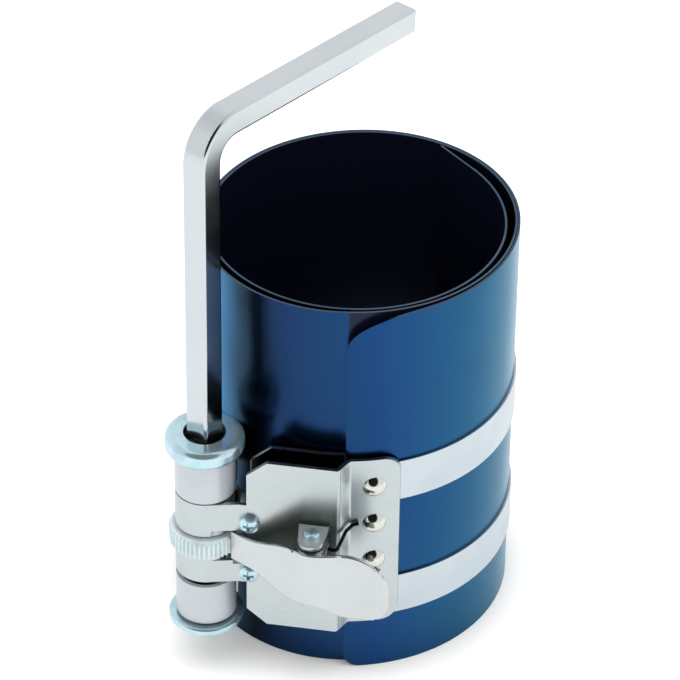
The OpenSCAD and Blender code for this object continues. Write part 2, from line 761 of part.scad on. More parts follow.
// Round wire along a path that is nowhere upright
module wire(path, d, sides = 8) {
    n = len(path);
    rings = [for (i = [0 : n - 1]) let (
        t = path[min(i + 1, n - 1)] - path[max(i - 1, 0)],
        side = cross(t, [0, 0, 1]) / norm(cross(t, [0, 0, 1])),
        up = cross(side, t) / norm(t))
        each [for (k = [0 : sides - 1]) let (v = d / 2 * dir(k * 360 / sides))
            path[i] + v.x * side + v.y * up]];
    faces = concat(
        [[for (k = [0 : sides - 1]) k]],
        [for (i = [0 : n - 2], k = [0 : sides - 1]) let (j = (k + 1) % sides)
            [i * sides + k, (i + 1) * sides + k, (i + 1) * sides + j, i * sides + j]],
        [[for (k = [sides - 1 : -1 : 0]) (n - 1) * sides + k]]
    );
    polyhedron(rings, faces);
}

module torsion_spring() color(spring_wire) wire(spring_path, wire_d);

// Fasteners

module clamp_screw(z) {
    reach = leaf_gap + 2 * leaf_t + nut_h + screw_tail;
    translate([-clamp_x, front_y, z]) rotate([90, 0, 0]) {
        screw_head(clamp_head_d, clamp_head_d * head_share);
        translate([0, 0, -reach]) cylinder(d = clamp_d, h = reach);
    }
}

module clamp_nut(z) {
    translate([-clamp_x, back_y + leaf_t, z]) rotate([-90, 30, 0]) hex_nut(clamp_d + 2 * hole_gap);
}

module upper_clamp_screw() color(zinc) clamp_screw(clamp_z[0]);
module lower_clamp_screw() color(zinc) clamp_screw(clamp_z[1]);
module upper_clamp_nut() color(zinc) clamp_nut(clamp_z[0]);
module lower_clamp_nut() color(zinc) clamp_nut(clamp_z[1]);

// Domed head on the pad, shank through the layers and a flat tail under the back leaf
rivet_rise_share = 0.28;
rivet_tail_share = 1.3;
rivet_tail_h = 0.1;
module rivet(z) {
    rise = rivet_head_d * rivet_rise_share;
    dome_r = (pow(rivet_head_d / 2, 2) + rise * rise) / (2 * rise);
    tail_r = rivet_d / 2 * rivet_tail_share;
    tail_in = sqrt(pow(back_r - leaf_t, 2) - pow(tail_r, 2)) - seat_gap;
    depth = pad_r - tail_in + rivet_tail_h;
    on_pad(z) {
        rotate_extrude() intersection() {
            translate([0, rise - dome_r]) circle(dome_r);
            square([rivet_head_d, rivet_head_d]);
        }
        translate([0, 0, -depth]) cylinder(d = rivet_d, h = depth);
        translate([0, 0, -depth]) cylinder(r = tail_r, h = rivet_tail_h);
    }
}

module upper_band_rivet() color(nickel) rivet(rivet_z[0]);
module upper_sleeve_rivet() color(nickel) rivet(rivet_z[1]);
module lower_sleeve_rivet() color(nickel) rivet(rivet_z[2]);
module lower_band_rivet() color(nickel) rivet(rivet_z[3]);

// Square bar bent to an L: the shank in the socket, the bend, which bulges a little, and the arm
module square_key() color(nickel) translate([axis.x, axis.y, 0]) rotate(key_turn) {
    bend_z = key_arm_z - key_tangent;
    translate([0, 0, key_z]) linear_extrude(bend_z - key_z + bend_bulge) round_square(key_w, key_round);
    translate([key_bend, 0, bend_z]) rotate([90, 0, 0]) rotate([0, 0, 180 - key_bend_a])
        rotate_extrude(angle = key_bend_a) translate([key_bend, 0])
            round_square(key_w + 2 * bend_bulge, key_round + bend_bulge);
    translate([0, 0, key_arm_z]) rotate([0, key_bend_a, 0]) translate([0, 0, key_tangent - bend_bulge])
        linear_extrude(key_arm - key_tangent + bend_bulge) round_square(key_w, key_round);
}

sleeve();
upper_band();
lower_band();
bracket();
spindle();
top_flange();
bottom_flange();
ratchet_wheel();
upper_band_coil();
lower_band_coil();
release_lever();
pivot_screw();
pivot_nut();
torsion_spring();
upper_clamp_screw();
lower_clamp_screw();
upper_clamp_nut();
lower_clamp_nut();
upper_band_rivet();
upper_sleeve_rivet();
lower_sleeve_rivet();
lower_band_rivet();
square_key();
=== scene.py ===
import json
import math
import bmesh
import bpy
from mathutils import Matrix, Vector

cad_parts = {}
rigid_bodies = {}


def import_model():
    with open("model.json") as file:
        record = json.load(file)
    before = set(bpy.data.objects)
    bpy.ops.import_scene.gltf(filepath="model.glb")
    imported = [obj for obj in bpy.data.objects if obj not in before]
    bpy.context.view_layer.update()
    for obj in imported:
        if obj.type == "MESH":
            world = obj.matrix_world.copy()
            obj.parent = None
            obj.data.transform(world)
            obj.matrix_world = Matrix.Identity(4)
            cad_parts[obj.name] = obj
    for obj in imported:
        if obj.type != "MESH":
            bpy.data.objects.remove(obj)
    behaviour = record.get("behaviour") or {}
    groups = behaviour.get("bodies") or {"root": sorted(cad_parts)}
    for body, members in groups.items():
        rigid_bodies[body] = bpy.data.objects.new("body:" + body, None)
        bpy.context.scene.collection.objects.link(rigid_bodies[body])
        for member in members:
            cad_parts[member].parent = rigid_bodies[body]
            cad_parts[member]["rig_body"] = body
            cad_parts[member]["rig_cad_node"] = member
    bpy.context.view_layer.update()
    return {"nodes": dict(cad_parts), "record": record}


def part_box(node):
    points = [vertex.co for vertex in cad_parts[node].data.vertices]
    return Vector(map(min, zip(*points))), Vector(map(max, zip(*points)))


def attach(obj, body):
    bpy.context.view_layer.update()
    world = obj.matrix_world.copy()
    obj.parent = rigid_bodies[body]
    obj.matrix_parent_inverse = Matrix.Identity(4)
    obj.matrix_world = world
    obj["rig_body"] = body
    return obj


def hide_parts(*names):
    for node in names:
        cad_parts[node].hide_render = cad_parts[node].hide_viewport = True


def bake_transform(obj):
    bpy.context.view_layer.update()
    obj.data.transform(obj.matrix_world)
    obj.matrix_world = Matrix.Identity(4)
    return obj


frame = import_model()
nodes = frame["nodes"]
bodyOf = {node: body for body, members in frame["record"]["behaviour"]["bodies"].items() for node in members}


def linearFromHex(code):  # sRGB hex to the linear colour that Blender mixes in
    def channel(text):
        c = int(text, 16) / 255
        return c / 12.92 if c <= 0.04045 else ((c + 0.055) / 1.055) ** 2.4
    return tuple(channel(code[i:i + 2]) for i in (1, 3, 5)) + (1.0,)


def addNode(tree, kind, links=None, values=None, **settings):  # one node with its settings, values and links
    node = tree.nodes.new("ShaderNode" + kind)
    for name, value in settings.items():
        setattr(node, name, value)
    for name, value in (values or {}).items():
        node.inputs[name].default_value = value
    for name, socket in (links or {}).items():
        tree.links.new(socket, node.inputs[name])
    return node


def setRamp(ramp, stops):  # stops are pairs of place and colour, or place and grey
    for stop in stops[2:]:
        ramp.color_ramp.elements.new(stop[0])
    for element, (place, colour) in zip(ramp.color_ramp.elements, sorted(stops)):
        element.position = place
        element.color = linearFromHex(colour) if isinstance(colour, str) else (colour, colour, colour, 1)
    return ramp


def newMaterial(name):
    material = bpy.data.materials.new(name)
    material.use_nodes = True
    tree = material.node_tree
    tree.nodes.clear()
    shader = addNode(tree, "BsdfPrincipled")
    addNode(tree, "OutputMaterial", {"Surface": shader.outputs[0]})
    return material, tree, shader


# Camera, from the sizes that the photograph gives: long lens, a little to the right, well above
cameraPlan = {
    "lens": 217.2, "sensor": 36, "clip": (0.01, 20), "place": (0.09059, -0.58900, 0.50519),
    "azimuth": 9.0, "elevation": 37.193, "roll": 0.7725,
}


def addCamera(plan):
    a, e, r = (math.radians(plan[k]) for k in ("azimuth", "elevation", "roll"))
    right = Vector((math.cos(a), math.sin(a), 0))
    back = Vector((math.sin(a) * math.cos(e), -math.cos(a) * math.cos(e), math.sin(e)))
    up = back.cross(right)
    turnedRight = right * math.cos(r) + up * math.sin(r)
    turnedUp = up * math.cos(r) - right * math.sin(r)
    data = bpy.data.cameras.new("productCamera")
    data.lens, data.sensor_width = plan["lens"], plan["sensor"]
    data.clip_start, data.clip_end = plan["clip"]
    camera = bpy.data.objects.new("productCamera", data)
    bpy.context.scene.collection.objects.link(camera)
    basis = Matrix((turnedRight, turnedUp, back)).transposed().to_4x4()
    camera.matrix_world = Matrix.Translation(plan["place"]) @ basis
    bpy.context.scene.camera = camera


addCamera(cameraPlan)
print("camera set")

# Studio: white paper under a white tent that is a little darker overhead, one soft lamp above on the right.
# The tent is open above the front, and only rounded bright metal shows that dark place.
studio = {
    "paper": "#eeeeec", "paperSize": 6, "paperDrop": 0.00002, "paperRoughness": 0.9, "paperSpecular": 0.1,
    "fibresPerMetre": 900, "fibreBump": 0.02, "fibreHeight": 0.0002,
    "paperGlow": 0.66, "mirroredGlow": 0.36, "shadowReach": 0.013, "shadowDepth": 2.2, "shadowSamples": 8,
    "tent": 1.0, "tentTop": 0.72, "tentShoulder": (0.66, 0.95),
    "opening": "#1d1e19", "openingWay": (0.05, -0.72, 0.69), "openingEdge": (0.7, 0.8),
    "lampPower": 2.2, "lampSize": 0.5, "lampPlace": (0.3, -0.1, 1.0), "lampAim": (0, 0, 0.04),
}


def addPaper(plan):
    bpy.ops.object.select_all(action="DESELECT")
    bpy.ops.mesh.primitive_plane_add(size=plan["paperSize"], location=(0, 0, -plan["paperDrop"]))
    paper = bpy.context.object
    paper.name = "paper"
    bpy.ops.object.transform_apply(location=True, rotation=False, scale=False)
    material, tree, shader = newMaterial("mattePaper")
    coords = addNode(tree, "TexCoord")
    fibres = addNode(tree, "TexNoise", {"Vector": coords.outputs["Object"]},
                     {"Scale": plan["fibresPerMetre"], "Detail": 4})
    grain = addNode(tree, "Bump", {"Height": fibres.outputs["Fac"]},
                    {"Strength": plan["fibreBump"], "Distance": plan["fibreHeight"]})
    # what the paper adds to look white to the camera, a mirror or a glass; ambient occlusion dims it close to
    # the object as a painted contact shadow
    rays = addNode(tree, "LightPath")
    mirrored = addNode(tree, "Math",
                       {0: rays.outputs["Is Glossy Ray"], 1: rays.outputs["Is Transmission Ray"]},
                       operation="MAXIMUM")
    inMirror = addNode(tree, "Math", {0: mirrored.outputs[0]}, {1: plan["mirroredGlow"]},
                       operation="MULTIPLY")
    added = addNode(tree, "Math", {0: rays.outputs["Is Camera Ray"], 2: inMirror.outputs[0]},
                    {1: plan["paperGlow"]}, operation="MULTIPLY_ADD")
    openness = addNode(tree, "AmbientOcclusion", values={"Distance": plan["shadowReach"]},
                       samples=plan["shadowSamples"])
    shade = addNode(tree, "Math", {0: openness.outputs["AO"]}, {1: plan["shadowDepth"]}, operation="POWER")
    glow = addNode(tree, "Math", {0: added.outputs[0], 1: shade.outputs[0]}, operation="MULTIPLY")
    shader.inputs["Base Color"].default_value = linearFromHex(plan["paper"])
    shader.inputs["Roughness"].default_value = plan["paperRoughness"]
    shader.inputs["Specular IOR Level"].default_value = plan["paperSpecular"]
    shader.inputs["Emission Color"].default_value = (1, 1, 1, 1)
    tree.links.new(glow.outputs[0], shader.inputs["Emission Strength"])
    tree.links.new(grain.outputs["Normal"], shader.inputs["Normal"])
    paper.data.materials.append(material)


def addTent(plan):
    world = bpy.data.worlds.new("tent")
    bpy.context.scene.world = world
    world.use_nodes = True
    tree = world.node_tree
    tree.nodes.clear()
    coords = addNode(tree, "TexCoord")
    parts = addNode(tree, "SeparateXYZ", {"Vector": coords.outputs["Generated"]})
    height = setRamp(addNode(tree, "ValToRGB", {"Fac": parts.outputs["Z"]}), [
        (0.0, plan["tent"]), (plan["tentShoulder"][0], plan["tent"]),
        (plan["tentShoulder"][1], plan["tentTop"]),
    ])
    towards = addNode(tree, "VectorMath", {0: coords.outputs["Generated"]}, {1: plan["openingWay"]},
                      operation="DOT_PRODUCT")
    hole = addNode(tree, "MapRange", {"Value": towards.outputs["Value"]},
                   {"From Min": plan["openingEdge"][0], "From Max": plan["openingEdge"][1]})
    rays = addNode(tree, "LightPath")
    mirroredHole = addNode(tree, "Math", {0: hole.outputs[0], 1: rays.outputs["Is Glossy Ray"]},
                           operation="MULTIPLY")
    walls = addNode(tree, "Mix", {"Factor": mirroredHole.outputs[0], "A": height.outputs["Color"]},
                    data_type="RGBA")
    walls.inputs["B"].default_value = linearFromHex(plan["opening"])
    seen = addNode(tree, "Mix", {"Factor": rays.outputs["Is Camera Ray"], "A": walls.outputs["Result"]},
                   data_type="RGBA")
    seen.inputs["B"].default_value = (1, 1, 1, 1)
    sky = addNode(tree, "Background", {"Color": seen.outputs["Result"]})
    addNode(tree, "OutputWorld", {"Surface": sky.outputs[0]})


def addLamp(plan):
    lamp = bpy.data.lights.new("softbox", "AREA")
    lamp.energy, lamp.size = plan["lampPower"], plan["lampSize"]
    softbox = bpy.data.objects.new("softbox", lamp)
    bpy.context.scene.collection.objects.link(softbox)
    softbox.location = plan["lampPlace"]
    softbox.visible_glossy = False  # the plating shows the tent, and no square of light
    aim = Vector(plan["lampAim"]) - Vector(plan["lampPlace"])
    softbox.rotation_euler = aim.to_track_quat("-Z", "Y").to_euler()


addPaper(studio)
addTent(studio)
addLamp(studio)
bpy.context.scene.view_settings.view_transform = "Standard"
print("studio lit")

# Tempered spring steel: cold-rolled strip, hardened and blued in air. The oxide is a deep blue that drifts
# round the coil as the heat did, and the tint round the coil also holds painted reflection and shade in its
# lighter and darker stripes. The inside, and the turn that lies under the free end, are painted almost black
# as shade, and the sheared edges are bare.
bluedSheet = {
    "drift": [  # way round from +X, and the tint there
        # the stops hold the oxide's drift and painted reflection; the near-black stripe at 0.645 to 0.69 is
        # painted reflection of the key's shank and painted shade behind the spindle
        (0.0, "#4b89ad"), (0.06, "#4a86a8"), (0.14, "#2a5f8a"), (0.30, "#1d4172"), (0.44, "#214a7e"),
        (0.52, "#3370a8"), (0.57, "#4488be"), (0.61, "#387db2"), (0.645, "#243f58"), (0.665, "#0f1a24"),
        (0.69, "#1c3456"), (0.72, "#1f3b66"), (0.765, "#1f426c"), (0.80, "#1f4479"), (0.90, "#245a80"),
        (0.97, "#306f92"), (1.0, "#4b89ad"),
    ],
    "waver": 0.025, "patchesPerMetre": 45,
    # inside: the near-black painted shade of the inner faces and of the turn under the free end
    "inside": "#1a2036", "insideMetal": 0.6, "bareEdge": "#46566a", "edgeTint": "#e4edef",
    "roughness": (0.2, 0.28), "grainPitch": 0.0004, "grainAlong": 20, "grainBump": 0.02,
    "grainHeight": 0.0001, "faceOn": 0.5,
    "freeEdge": 0.0033, "endMiddle": (-0.00179, 0.00108, 0), "endInside": 0.0303,
}


def temperedBlueSteel(plan):
    material, tree, shader = newMaterial("temperedBlueSteel")
    place = addNode(tree, "TexCoord").outputs["Object"]
    face = addNode(tree, "NewGeometry")
    parts = addNode(tree, "SeparateXYZ", {0: place})
    level = addNode(tree, "CombineXYZ", {"X": parts.outputs["X"], "Y": parts.outputs["Y"]})
    outwards = addNode(tree, "VectorMath", {0: level.outputs[0]}, operation="NORMALIZE")
    facing = addNode(tree, "VectorMath", {0: face.outputs["Normal"], 1: outwards.outputs[0]},
                     operation="DOT_PRODUCT")
    # way round the coil, 0 to 1 from +X, where the heat tint wavers by a few millimetres
    angle = addNode(tree, "Math", {0: parts.outputs["Y"], 1: parts.outputs["X"]}, operation="ARCTAN2")
    turn = addNode(tree, "Math", {0: angle.outputs[0]}, {1: 2 * math.pi}, operation="DIVIDE")
    tint = addNode(tree, "TexNoise", {"Vector": place},
                   {"Scale": plan["patchesPerMetre"], "Detail": 3, "Roughness": 0.5})
    waver = addNode(tree, "Math", {0: tint.outputs["Fac"]}, {1: 2 * plan["waver"], 2: -plan["waver"]},
                    operation="MULTIPLY_ADD")
    drifted = addNode(tree, "Math", {0: turn.outputs[0], 1: waver.outputs[0]}, operation="ADD")
    round01 = addNode(tree, "Math", {0: drifted.outputs[0]}, {1: 1.0}, operation="FLOORED_MODULO")
    blue = setRamp(addNode(tree, "ValToRGB", {"Fac": round01.outputs[0]}), plan["drift"])
    # painted shade on the turn under the free end: right of its edge, in front, and nearer to the middle than
    # the end itself
    reach = addNode(tree, "VectorMath", {0: level.outputs[0]}, {1: plan["endMiddle"]}, operation="DISTANCE")
    under = addNode(tree, "Math", {0: reach.outputs["Value"]}, {1: plan["endInside"]}, operation="LESS_THAN")
    right = addNode(tree, "Math", {0: parts.outputs["X"]}, {1: plan["freeEdge"]}, operation="GREATER_THAN")
    front = addNode(tree, "Math", {0: parts.outputs["Y"]}, {1: 0.0}, operation="LESS_THAN")
    covered = addNode(tree, "Math", {0: under.outputs[0], 1: right.outputs[0]}, operation="MULTIPLY")
    shadeUnderEnd = addNode(tree, "Math", {0: covered.outputs[0], 1: front.outputs[0]}, operation="MULTIPLY")
    # the inner faces take the same near-black painted shade
    inside = addNode(tree, "Math", {0: facing.outputs["Value"]}, {1: -plan["faceOn"]}, operation="LESS_THAN")
    paintedShade = addNode(tree, "Math", {0: inside.outputs[0], 1: shadeUnderEnd.outputs[0]}, operation="MAXIMUM")
    wall = addNode(tree, "Mix", {"Factor": paintedShade.outputs[0], "A": blue.outputs["Color"]}, data_type="RGBA")
    wall.inputs["B"].default_value = linearFromHex(plan["inside"])
    across = addNode(tree, "Math", {0: facing.outputs["Value"]}, operation="ABSOLUTE")
    cutFace = addNode(tree, "Math", {0: across.outputs[0]}, {1: plan["faceOn"]}, operation="LESS_THAN")
    coat = addNode(tree, "Mix", {"Factor": cutFace.outputs[0], "A": wall.outputs["Result"]}, data_type="RGBA")
    coat.inputs["B"].default_value = linearFromHex(plan["bareEdge"])
    # rolling grain runs round the coil, drawn coarser than the real hundredth of a millimetre to show
    along = addNode(tree, "Mapping", {"Vector": place})
    along.inputs["Scale"].default_value = (plan["grainAlong"], plan["grainAlong"], 1 / plan["grainPitch"])
    grain = addNode(tree, "TexNoise", {"Vector": along.outputs[0]}, {"Scale": 1, "Detail": 3})
    polish = addNode(tree, "MapRange", {"Value": grain.outputs["Fac"]},
                     {"To Min": plan["roughness"][0], "To Max": plan["roughness"][1]})
    bump = addNode(tree, "Bump", {"Height": grain.outputs["Fac"]},
                   {"Strength": plan["grainBump"], "Distance": plan["grainHeight"]})
    # the faces with painted shade are less metallic and scatter a little light
    film = addNode(tree, "MapRange", {"Value": paintedShade.outputs[0]},
                   {"To Min": 1.0, "To Max": plan["insideMetal"]})
    tree.links.new(film.outputs[0], shader.inputs["Metallic"])
    tree.links.new(coat.outputs["Result"], shader.inputs["Base Color"])
    tree.links.new(polish.outputs[0], shader.inputs["Roughness"])
    tree.links.new(bump.outputs[0], shader.inputs["Normal"])
    shader.inputs["Specular Tint"].default_value = linearFromHex(plan["edgeTint"])
    return material


# Bright strip steel: cold-rolled, degreased, satin. Pale grey with fine lines along the strip.
bandStrip = {
    "light": "#cad3da", "dark": "#bfcad2", "patchesPerMetre": 90, "roughness": (0.3, 0.4),
    "linePitch": 0.0005, "lineAlong": 12, "lineBump": 0.04, "lineHeight": 0.0001,
}


def brightStripSteel(plan):
    material, tree, shader = newMaterial("brightStripSteel")
    coords = addNode(tree, "TexCoord")
    along = addNode(tree, "Mapping", {"Vector": coords.outputs["Object"]})
    along.inputs["Scale"].default_value = (plan["lineAlong"], plan["lineAlong"], 1 / plan["linePitch"])
    lines = addNode(tree, "TexNoise", {"Vector": along.outputs[0]}, {"Scale": 1, "Detail": 4})
    patches = addNode(tree, "TexNoise", {"Vector": coords.outputs["Object"]},
                      {"Scale": plan["patchesPerMetre"], "Detail": 3})
    shade = setRamp(addNode(tree, "ValToRGB", {"Fac": patches.outputs["Fac"]}),
                    [(0.3, plan["dark"]), (0.7, plan["light"])])
    polish = addNode(tree, "MapRange", {"Value": lines.outputs["Fac"]},
                     {"To Min": plan["roughness"][0], "To Max": plan["roughness"][1]})
    bump = addNode(tree, "Bump", {"Height": lines.outputs["Fac"]},
                   {"Strength": plan["lineBump"], "Distance": plan["lineHeight"]})
    tree.links.new(shade.outputs["Color"], shader.inputs["Base Color"])
    tree.links.new(polish.outputs[0], shader.inputs["Roughness"])
    tree.links.new(bump.outputs[0], shader.inputs["Normal"])
    shader.inputs["Metallic"].default_value = 1
    return material


# Bright nickel plate on pressed sheet: white metal, a soft mirror, with faint smears and hairlines. The faces
# inside the fold are painted almost black as shade, and painted shade and reflection darken the front leaf
# round the lever's ear, where the leaf is also rougher. The wound ends of the bands are finely scratched and
# scatter most of the light.
nickelPolish = {"hairline": 0.0006, "along": 40, "bump": 0.005, "height": 0.0001, "faceOn": 0.5}
nickelSheet = {
    "light": "#c3cbcd", "dark": "#bcc5c8", "roughness": (0.26, 0.34), "smear": 0.006,
    # the first colour here is the painted shade inside the fold; the next, with its limits, is painted shade
    # and reflection on the front leaf round the lever's ear
    "foldShade": "#1f201c", "foldFront": -0.0332, "foldLeft": -0.0138, "foldRight": 0.003,
    "leafShade": "#6f766d", "leafShadeTop": 0.0412, "leafShadeCorner": -0.0035, "leafShadeSlope": 0.87,
    "leafShadeFade": 0.005, "leafShadeThin": (-0.006, 0.0, 0.72), "leafShadeFoot": 0.0255, "leafShadeRoughness": 0.42,
    "leafFront": -0.0340, "earFront": -0.0345, "earMetal": 0.5,
}
nickelLever = {"light": "#ccd1d3", "dark": "#c6cbcd", "roughness": (0.24, 0.32), "smear": 0.008}
nickelBar = {"light": "#cbd1d5", "dark": "#c5ccd0", "roughness": (0.13, 0.17), "smear": 0.012}
nickelDome = {"light": "#d8d8d2", "dark": "#cfcfc8", "roughness": (0.06, 0.1), "smear": 0.006}
nickelCoil = {
    "light": "#d3dae0", "dark": "#ccd4db", "roughness": (0.2, 0.26), "smear": 0.006, "metal": 0.15,
}


def whereAll(tree, tests):  # 1 where every test of a socket against its limit holds
    every = None
    for socket, operation, limit in tests:
        holds = addNode(tree, "Math", {0: socket}, {1: limit}, operation=operation).outputs[0]
        if every:
            holds = addNode(tree, "Math", {0: every, 1: holds}, operation="MULTIPLY").outputs[0]
        every = holds
    return every


def brightNickel(name, plan, lines=nickelPolish):
    material, tree, shader = newMaterial(name)
    coords = addNode(tree, "TexCoord")
    smears = addNode(tree, "TexNoise", {"Vector": coords.outputs["Object"]},
                     {"Scale": 1 / plan["smear"], "Detail": 4, "Roughness": 0.6})
    shade = setRamp(addNode(tree, "ValToRGB", {"Fac": smears.outputs["Fac"]}),
                    [(0.3, plan["dark"]), (0.65, plan["light"])])
    polish = addNode(tree, "MapRange", {"Value": smears.outputs["Fac"]},
                     {"From Min": 0.3, "From Max": 0.7,
                      "To Min": plan["roughness"][0], "To Max": plan["roughness"][1]})
    lengthways = addNode(tree, "Mapping", {"Vector": coords.outputs["Object"]})
    lengthways.inputs["Scale"].default_value = (1 / lines["hairline"], 1 / lines["hairline"], lines["along"])
    hairlines = addNode(tree, "TexNoise", {"Vector": lengthways.outputs[0]}, {"Scale": 1, "Detail": 2})
    bump = addNode(tree, "Bump", {"Height": hairlines.outputs["Fac"]},
                   {"Strength": lines["bump"], "Distance": lines["height"]})
    colour, dullness = shade.outputs["Color"], polish.outputs[0]
    if "foldShade" in plan:
        parts = addNode(tree, "SeparateXYZ", {0: coords.outputs["Object"]})
        facing = addNode(tree, "SeparateXYZ", {0: addNode(tree, "NewGeometry").outputs["Normal"]})
        upright = addNode(tree, "Math", {0: facing.outputs["Y"]}, operation="ABSOLUTE").outputs[0]
        # painted shade inside the fold between the leaves, on its upright faces
        inFold = whereAll(tree, [
            (parts.outputs["Y"], "GREATER_THAN", plan["foldFront"]),
            (parts.outputs["X"], "GREATER_THAN", plan["foldLeft"]),
            (parts.outputs["X"], "LESS_THAN", plan["foldRight"]),
            (upright, "GREATER_THAN", lines["faceOn"]),
        ])
        paintedShade = addNode(tree, "Mix", {"Factor": inFold, "A": colour}, data_type="RGBA")
        paintedShade.inputs["B"].default_value = linearFromHex(plan["foldShade"])
        # the painted shade's upper edge is level, and slopes down past its corner
        onLeaf = whereAll(tree, [
            (parts.outputs["Y"], "GREATER_THAN", plan["leafFront"]),
            (parts.outputs["Y"], "LESS_THAN", plan["foldFront"]),
            (parts.outputs["Z"], "GREATER_THAN", plan["leafShadeFoot"]),
            (upright, "GREATER_THAN", lines["faceOn"]),
        ])
        past = addNode(tree, "Math", {0: parts.outputs["X"]}, {1: plan["leafShadeCorner"]}, operation="SUBTRACT")
        leftOf = addNode(tree, "Math", {0: past.outputs[0]}, {1: 0.0}, operation="MINIMUM")
        edge = addNode(tree, "Math", {0: leftOf.outputs[0]}, {1: plan["leafShadeSlope"], 2: plan["leafShadeTop"]},
                       operation="MULTIPLY_ADD")
        depth = addNode(tree, "Math", {0: edge.outputs[0], 1: parts.outputs["Z"]}, operation="SUBTRACT")
        thick = addNode(tree, "MapRange", {"Value": depth.outputs[0]},
                        {"From Min": -plan["leafShadeFade"] / 2, "From Max": plan["leafShadeFade"] / 2},
                        interpolation_type="SMOOTHSTEP")
        thin = addNode(tree, "MapRange", {"Value": parts.outputs["X"]},
                       {"From Min": plan["leafShadeThin"][0], "From Max": plan["leafShadeThin"][1],
                        "To Min": 1.0, "To Max": plan["leafShadeThin"][2]})
        spread = addNode(tree, "Math", {0: thick.outputs[0], 1: thin.outputs[0]}, operation="MULTIPLY")
        film = addNode(tree, "Math", {0: spread.outputs[0], 1: onLeaf}, operation="MULTIPLY")
        # the front leaf darkens with painted shade and reflection round the lever's ear
        leafShaded = addNode(tree, "Mix", {"Factor": film.outputs[0], "A": paintedShade.outputs["Result"]},
                          data_type="RGBA")
        leafShaded.inputs["B"].default_value = linearFromHex(plan["leafShade"])
        dulled = addNode(tree, "Mix", {"Factor": film.outputs[0], "A": dullness},
                         {"B": plan["leafShadeRoughness"]})
        colour, dullness = leafShaded.outputs["Result"], dulled.outputs["Result"]
        # the ears' flat tops are matt from rubbing
        onEar = whereAll(tree, [
            (parts.outputs["Y"], "LESS_THAN", plan["earFront"]),
            (facing.outputs["Z"], "GREATER_THAN", lines["faceOn"]),
        ])
        rubbed = addNode(tree, "MapRange", {"Value": onEar}, {"To Min": 1.0, "To Max": plan["earMetal"]})
        tree.links.new(rubbed.outputs[0], shader.inputs["Metallic"])
    tree.links.new(colour, shader.inputs["Base Color"])
    tree.links.new(dullness, shader.inputs["Roughness"])
    tree.links.new(bump.outputs[0], shader.inputs["Normal"])
    shader.inputs["Metallic"].default_value = plan.get("metal", 1)
    return material


# Zinc plate, clear passivated: blue-white, the thin film drifts between cyan and lavender. The cut teeth are
# matt and scatter most of the light.
zincFilm = {"drift": 0.004, "crystalsPerMetre": 4000, "bump": 0.02, "height": 0.00005}
zincPlate = {
    "cyan": "#b4dde6", "lavender": "#b9cfe0", "white": "#c6e2ea", "roughness": (0.18, 0.24), "metal": 0.76,
}
zincTeeth = {
    "cyan": "#def2f5", "lavender": "#dbe8f1", "white": "#e8f5f7", "roughness": (0.3, 0.36), "metal": 0.2,
}


def blueWhiteZinc(name, plan, coat=zincFilm):
    material, tree, shader = newMaterial(name)
    coords = addNode(tree, "TexCoord")
    film = addNode(tree, "TexNoise", {"Vector": coords.outputs["Object"]},
                   {"Scale": 1 / coat["drift"], "Detail": 2, "Roughness": 0.5})
    shade = setRamp(addNode(tree, "ValToRGB", {"Fac": film.outputs["Fac"]}),
                    [(0.3, plan["lavender"]), (0.5, plan["white"]), (0.68, plan["cyan"])])
    crystals = addNode(tree, "TexVoronoi", {"Vector": coords.outputs["Object"]},
                       {"Scale": coat["crystalsPerMetre"]})
    polish = addNode(tree, "MapRange", {"Value": crystals.outputs["Distance"]},
                     {"To Min": plan["roughness"][0], "To Max": plan["roughness"][1]})
    bump = addNode(tree, "Bump", {"Height": crystals.outputs["Distance"]},
                   {"Strength": coat["bump"], "Distance": coat["height"]})
    tree.links.new(shade.outputs["Color"], shader.inputs["Base Color"])
    tree.links.new(polish.outputs[0], shader.inputs["Roughness"])
    tree.links.new(bump.outputs[0], shader.inputs["Normal"])
    shader.inputs["Metallic"].default_value = plan["metal"]
    return material


# Music wire and turned bar, oil blackened: dark, a little glossy, with worn places.
oilBlack = {"bump": 0.08, "height": 0.00005}
springWire = {"dark": "#15191c", "worn": "#3a4247", "roughness": (0.3, 0.5), "wear": 0.0012}
spindleBar = {"dark": "#1b1b18", "worn": "#474741", "roughness": (0.3, 0.45), "wear": 0.003}


def oilBlackedSteel(name, plan, coat=oilBlack):
    material, tree, shader = newMaterial(name)
    coords = addNode(tree, "TexCoord")
    wear = addNode(tree, "TexNoise", {"Vector": coords.outputs["Object"]},
                   {"Scale": 1 / plan["wear"], "Detail": 4})
    shade = setRamp(addNode(tree, "ValToRGB", {"Fac": wear.outputs["Fac"]}),
                    [(0.45, plan["dark"]), (0.75, plan["worn"])])
    polish = addNode(tree, "MapRange", {"Value": wear.outputs["Fac"]},
                     {"To Min": plan["roughness"][0], "To Max": plan["roughness"][1]})
    bump = addNode(tree, "Bump", {"Height": wear.outputs["Fac"]},
                   {"Strength": coat["bump"], "Distance": coat["height"]})
    tree.links.new(shade.outputs["Color"], shader.inputs["Base Color"])
    tree.links.new(polish.outputs[0], shader.inputs["Roughness"])
    tree.links.new(bump.outputs[0], shader.inputs["Normal"])
    shader.inputs["Metallic"].default_value = 1
    return material


